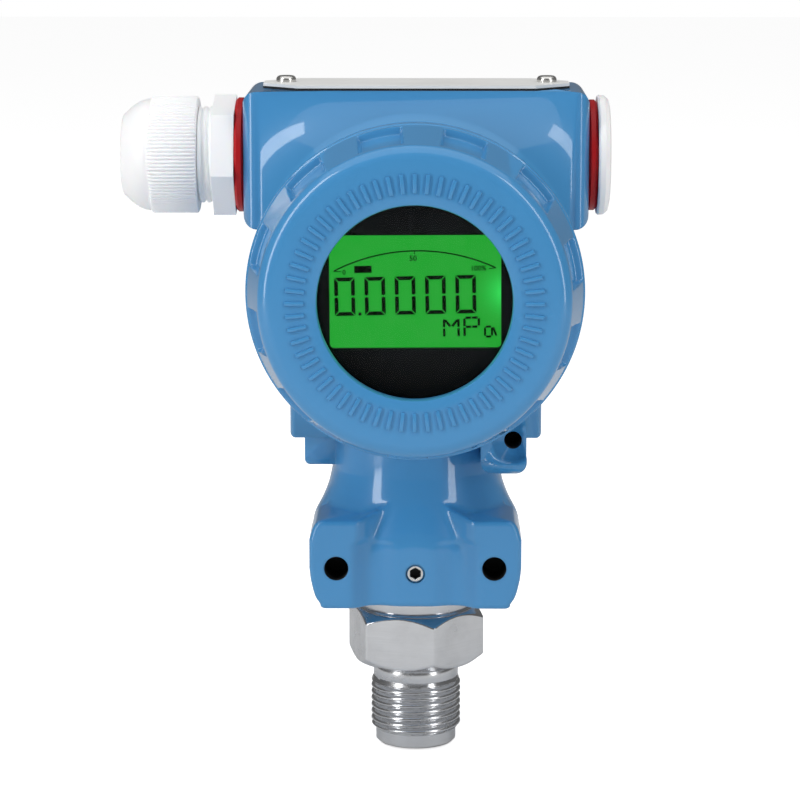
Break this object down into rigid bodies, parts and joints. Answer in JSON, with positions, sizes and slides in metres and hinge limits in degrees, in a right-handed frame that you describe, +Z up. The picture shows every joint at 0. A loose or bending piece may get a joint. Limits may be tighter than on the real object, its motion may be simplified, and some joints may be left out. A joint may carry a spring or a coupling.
{
  "type": "pressure transmitter",
  "caption": "Field pressure transmitter: round cast housing with glazed display cover and blind rear cover, cable gland, blanking plug and threaded steel process connector.",
  "frame": {"origin": "sensor axis at the end face of the process thread, where the pressure port opens", "axes": "+Z up along the sensor axis, -Y out through the display window, +X out through the blanking plug"},
  "size_m": [0.1055, 0.0985, 0.1487],
  "materials": {
    "housing_paint": "glossy light blue powder coat on cast aluminium",
    "stainless": "turned and lightly brushed stainless steel",
    "screw_steel": "plain steel fasteners",
    "nameplate_metal": "satin aluminium plate, bare",
    "white_nylon": "natural white nylon",
    "red_rubber": "red silicone seal",
    "black_rubber": "black nitrile seal",
    "window_glass": "clear toughened glass",
    "display_black": "black moulded plastic",
    "lcd": "backlit green liquid crystal display",
    "light_guide": "translucent white plastic",
    "circuit_board": "green solder mask",
    "brass": "plain turned brass",
    "potting": "dark grey potted case",
    "terminal_plastic": "black phenolic"
  },
  "bodies": {
    "sensor": {"process_connector": "stainless", "neck_oring": "black_rubber", "sensor_capsule": "stainless", "capsule_oring": "black_rubber", "capsule_retainer": "brass", "sensor_board": "circuit_board", "sensor_pins": "brass"},
    "housing": {"housing": "housing_paint", "rotation_lock_screw": "screw_steel", "feedthrough": "brass", "electronics_module": "potting", "module_screws": "screw_steel", "terminal_block": "terminal_plastic", "terminal_clamps": "brass", "terminal_screws": "brass", "gland_body": "white_nylon", "gland_oring": "red_rubber", "nameplate": "nameplate_metal", "nameplate_pad": "black_rubber", "nameplate_screws": "screw_steel"},
    "display": {"display_bezel": "display_black", "lcd_panel": "lcd", "lcd_backlight": "light_guide", "display_board": "circuit_board", "display_posts": "brass", "display_screws": "screw_steel", "display_hub": "display_black"},
    "front_seal": {"front_cover_oring": "black_rubber"},
    "front_cover": {"front_cover": "housing_paint", "window_gasket": "black_rubber", "window_glass": "window_glass", "window_ring": "display_black"},
    "rear_seal": {"rear_cover_oring": "black_rubber"},
    "rear_cover": {"rear_cover": "housing_paint"},
    "gland_insert": {"gland_insert": "black_rubber"},
    "gland_nut": {"gland_nut": "white_nylon"},
    "plug_seal": {"plug_oring": "red_rubber"},
    "blanking_plug": {"blanking_plug": "white_nylon"}
  },
  "joints": [
    {"name": "housing_swivel", "type": "hinge", "parent": "sensor", "child": "housing", "pos_m": [0, 0, 0.045], "axis": [0, 0, 1], "range_deg": [-180, 180]},
    {"name": "display_turn", "type": "hinge", "parent": "housing", "child": "display", "pos_m": [0, -0.034, 0.1065], "axis": [0, -1, 0], "range_deg": [-90, 180]},
    {"name": "front_cover_travel", "type": "slide", "parent": "housing", "child": "front_seal", "axis": [0, -1, 0], "range_m": [0, 0.01001]},
    {"name": "front_cover_turn", "type": "hinge", "parent": "front_seal", "child": "front_cover", "pos_m": [0, -0.034, 0.1065], "axis": [0, -1, 0], "range_deg": [0, 1800]},
    {"name": "rear_cover_travel", "type": "slide", "parent": "housing", "child": "rear_seal", "axis": [0, 1, 0], "range_m": [0, 0.01001]},
    {"name": "rear_cover_turn", "type": "hinge", "parent": "rear_seal", "child": "rear_cover", "pos_m": [0, 0.034, 0.1065], "axis": [0, 1, 0], "range_deg": [0, 1800]},
    {"name": "gland_nut_travel", "type": "slide", "parent": "housing", "child": "gland_insert", "axis": [-1, 0, 0], "range_m": [0, 0.00601]},
    {"name": "gland_nut_turn", "type": "hinge", "parent": "gland_insert", "child": "gland_nut", "pos_m": [-0.046, 0, 0.1315], "axis": [-1, 0, 0], "range_deg": [0, 1440]},
    {"name": "plug_travel", "type": "slide", "parent": "housing", "child": "plug_seal", "axis": [1, 0, 0], "range_m": [0, 0.00901]},
    {"name": "plug_turn", "type": "hinge", "parent": "plug_seal", "child": "blanking_plug", "pos_m": [0.037, 0, 0.1315], "axis": [1, 0, 0], "range_deg": [0, 2160]}
  ],
  "couplings": [
    {"joint": "front_cover_travel", "follows": "front_cover_turn", "m_per_rad": 0.00031831},
    {"joint": "rear_cover_travel", "follows": "rear_cover_turn", "m_per_rad": 0.00031831},
    {"joint": "gland_nut_travel", "follows": "gland_nut_turn", "m_per_rad": 0.00023873},
    {"joint": "plug_travel", "follows": "plug_turn", "m_per_rad": 0.00023873}
  ]
}
